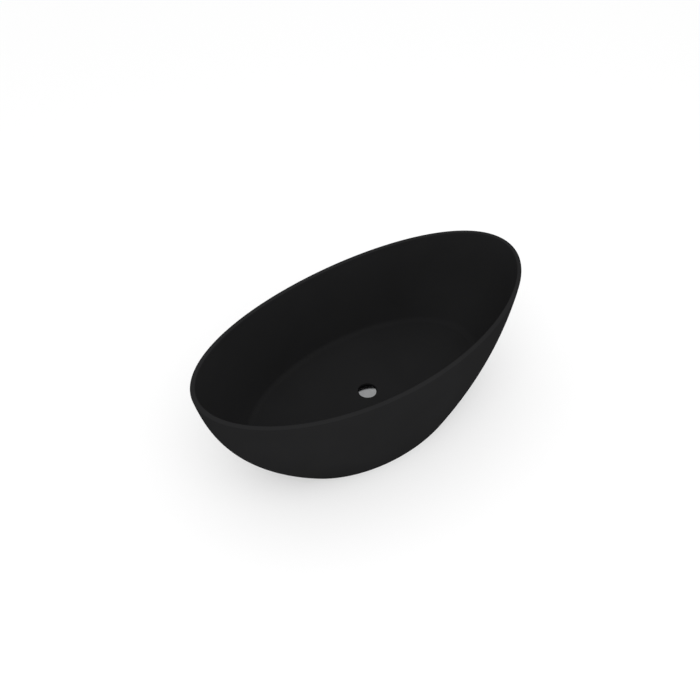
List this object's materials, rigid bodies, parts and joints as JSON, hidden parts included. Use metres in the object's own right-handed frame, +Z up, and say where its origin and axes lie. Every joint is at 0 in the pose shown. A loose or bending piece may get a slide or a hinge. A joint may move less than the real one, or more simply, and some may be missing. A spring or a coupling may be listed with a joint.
{
  "type": "freestanding bathtub",
  "caption": "Freestanding double-skin oval bathtub with a thin rim that rises at both ends, a sunken push plug in the floor and hidden levelling feet.",
  "frame": {"origin": "on the ground under the middle of the tub", "axes": "+X along the tub's length, +Y across it, +Z up"},
  "size_m": [1.7, 0.845, 0.6],
  "materials": {
    "tub_skin": "matt",
    "plywood": "raw",
    "steel": "zinc plated",
    "chrome": "polished",
    "brass": "turned",
    "rubber": "matt",
    "white_plastic": "satin",
    "pad_plastic": "moulded"
  },
  "bodies": {
    "tub": {"basin": "tub_skin", "apron": "tub_skin", "floor_board": "plywood", "cradle_left": "steel", "cradle_right": "steel", "board_screws": "steel", "rivet_nuts": "steel", "lock_nuts": "steel", "apron_brackets": "steel", "bracket_screws": "steel", "waste_body": "chrome", "flange_seal": "rubber", "under_seal": "rubber", "slip_washer": "white_plastic", "back_nut": "brass", "plug_barrel": "brass", "plug_spring": "steel"},
    "plug": {"plug_cap": "chrome", "plug_seal": "rubber", "plug_stem": "white_plastic"},
    "foot_1": {"pad_1": "pad_plastic"},
    "screw_1": {"stud_1": "steel"},
    "foot_2": {"pad_2": "pad_plastic"},
    "screw_2": {"stud_2": "steel"},
    "foot_3": {"pad_3": "pad_plastic"},
    "screw_3": {"stud_3": "steel"},
    "foot_4": {"pad_4": "pad_plastic"},
    "screw_4": {"stud_4": "steel"}
  },
  "joints": [
    {"name": "plug_lift", "type": "slide", "parent": "tub", "child": "plug", "axis": [0, 0, 1], "range_m": [0, 0.01], "deforming": ["plug_spring"]},
    {"name": "foot_1_lift", "type": "slide", "parent": "tub", "child": "foot_1", "axis": [0, 0, -1], "range_m": [0, 0.02]},
    {"name": "foot_1_screw", "type": "hinge", "parent": "foot_1", "child": "screw_1", "pos_m": [0.32, 0.189, 0.05], "axis": [0, 0, -1], "range_deg": [0, 4114.3]},
    {"name": "foot_2_lift", "type": "slide", "parent": "tub", "child": "foot_2", "axis": [0, 0, -1], "range_m": [0, 0.02]},
    {"name": "foot_2_screw", "type": "hinge", "parent": "foot_2", "child": "screw_2", "pos_m": [0.32, -0.189, 0.05], "axis": [0, 0, -1], "range_deg": [0, 4114.3]},
    {"name": "foot_3_lift", "type": "slide", "parent": "tub", "child": "foot_3", "axis": [0, 0, -1], "range_m": [0, 0.02]},
    {"name": "foot_3_screw", "type": "hinge", "parent": "foot_3", "child": "screw_3", "pos_m": [-0.32, 0.189, 0.05], "axis": [0, 0, -1], "range_deg": [0, 4114.3]},
    {"name": "foot_4_lift", "type": "slide", "parent": "tub", "child": "foot_4", "axis": [0, 0, -1], "range_m": [0, 0.02]},
    {"name": "foot_4_screw", "type": "hinge", "parent": "foot_4", "child": "screw_4", "pos_m": [-0.32, -0.189, 0.05], "axis": [0, 0, -1], "range_deg": [0, 4114.3]}
  ],
  "couplings": [
    {"joint": "foot_1_screw", "follows": "foot_1_lift", "rad_per_m": 3590.4},
    {"joint": "foot_2_screw", "follows": "foot_2_lift", "rad_per_m": 3590.4},
    {"joint": "foot_3_screw", "follows": "foot_3_lift", "rad_per_m": 3590.4},
    {"joint": "foot_4_screw", "follows": "foot_4_lift", "rad_per_m": 3590.4}
  ]
}
